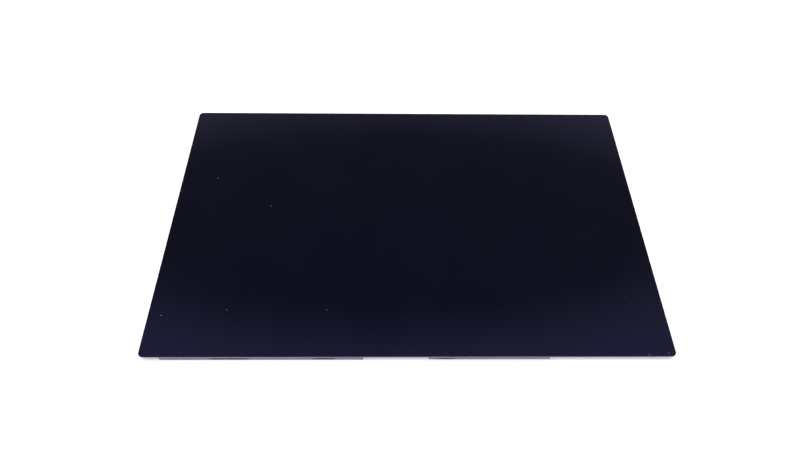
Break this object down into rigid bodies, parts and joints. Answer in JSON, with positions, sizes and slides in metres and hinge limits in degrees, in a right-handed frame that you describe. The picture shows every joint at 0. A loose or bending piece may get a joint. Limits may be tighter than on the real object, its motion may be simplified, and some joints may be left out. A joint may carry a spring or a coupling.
{
  "type": "touch display module",
  "caption": "Flat touch display module: a black bordered cover glass bonded over a slim backlit liquid crystal panel, with shielded circuit boards under the near border.",
  "frame": {"origin": "middle of the outline, on the plane that the pressed beads of the rear cover rest on", "axes": "+X along the picture's width, +Y from the near edge with the boards to the far edge, +Z out through the cover glass"},
  "size_m": [0.326, 0.204, 0.005],
  "materials": {
    "cover_glass": "polished, black behind",
    "border_ink": "printed ink",
    "clear_adhesive": "clear",
    "sensor_film": "clear film",
    "polarizer_film": "smooth film",
    "panel_glass": "polished",
    "bare_silicon": "polished",
    "amber_flex": "smooth film",
    "black_tape": "matt film",
    "frame_plastic": "moulded",
    "prism_film": "fine ribs",
    "diffuser_film": "frosted",
    "light_guide": "polished",
    "reflector_film": "bright white",
    "lamp_strip": "white mask",
    "lamp_housing": "moulded",
    "lamp_phosphor": "phosphor in silicone",
    "rear_sheet": "rolled sheet, pressed",
    "foam_tape": "smooth",
    "circuit_board": "solder mask",
    "chip_epoxy": "moulded",
    "ferrite": "matt",
    "capacitor_ceramic": "fired",
    "tinned_metal": "tinned",
    "gilded_contact": "gilded",
    "socket_plastic": "moulded",
    "socket_steel": "stamped",
    "shield_foil": "thin foil laminate"
  },
  "bodies": {
    "root": {"cover_glass": "cover_glass", "border_print": "border_ink", "lens_adhesive": "clear_adhesive", "touch_sensor": "sensor_film", "panel_adhesive": "clear_adhesive", "front_polarizer": "polarizer_film", "filter_glass": "panel_glass", "array_glass": "panel_glass", "rear_polarizer": "polarizer_film", "driver_chips": "bare_silicon", "panel_flex_left": "amber_flex", "panel_flex_right": "amber_flex", "rim_tape": "black_tape", "edge_tape": "black_tape", "mould_frame": "frame_plastic", "upper_prism_sheet": "prism_film", "lower_prism_sheet": "prism_film", "diffuser_sheet": "diffuser_film", "light_guide": "light_guide", "reflector_sheet": "reflector_film", "lamp_strip": "lamp_strip", "lamp_housings": "lamp_housing", "lamp_windows": "lamp_phosphor", "rear_cover": "rear_sheet", "board_tape": "foam_tape", "control_board": "circuit_board", "timing_controller": "chip_epoxy", "backlight_driver": "chip_epoxy", "power_regulator": "chip_epoxy", "memory_chip": "chip_epoxy", "control_inductors": "ferrite", "control_capacitors": "capacitor_ceramic", "control_terminals": "tinned_metal", "test_pads": "gilded_contact", "display_socket": "socket_plastic", "display_socket_shell": "socket_steel", "display_socket_contacts": "gilded_contact", "link_socket": "socket_plastic", "link_socket_contacts": "gilded_contact", "control_shield": "shield_foil", "touch_board": "circuit_board", "touch_controller": "chip_epoxy", "touch_regulator": "chip_epoxy", "touch_capacitors": "capacitor_ceramic", "touch_terminals": "tinned_metal", "touch_socket": "socket_plastic", "touch_socket_contacts": "gilded_contact", "touch_flex_left": "amber_flex", "touch_flex_middle": "amber_flex", "touch_flex_right": "amber_flex", "touch_shield": "shield_foil"}
  },
  "joints": []
}
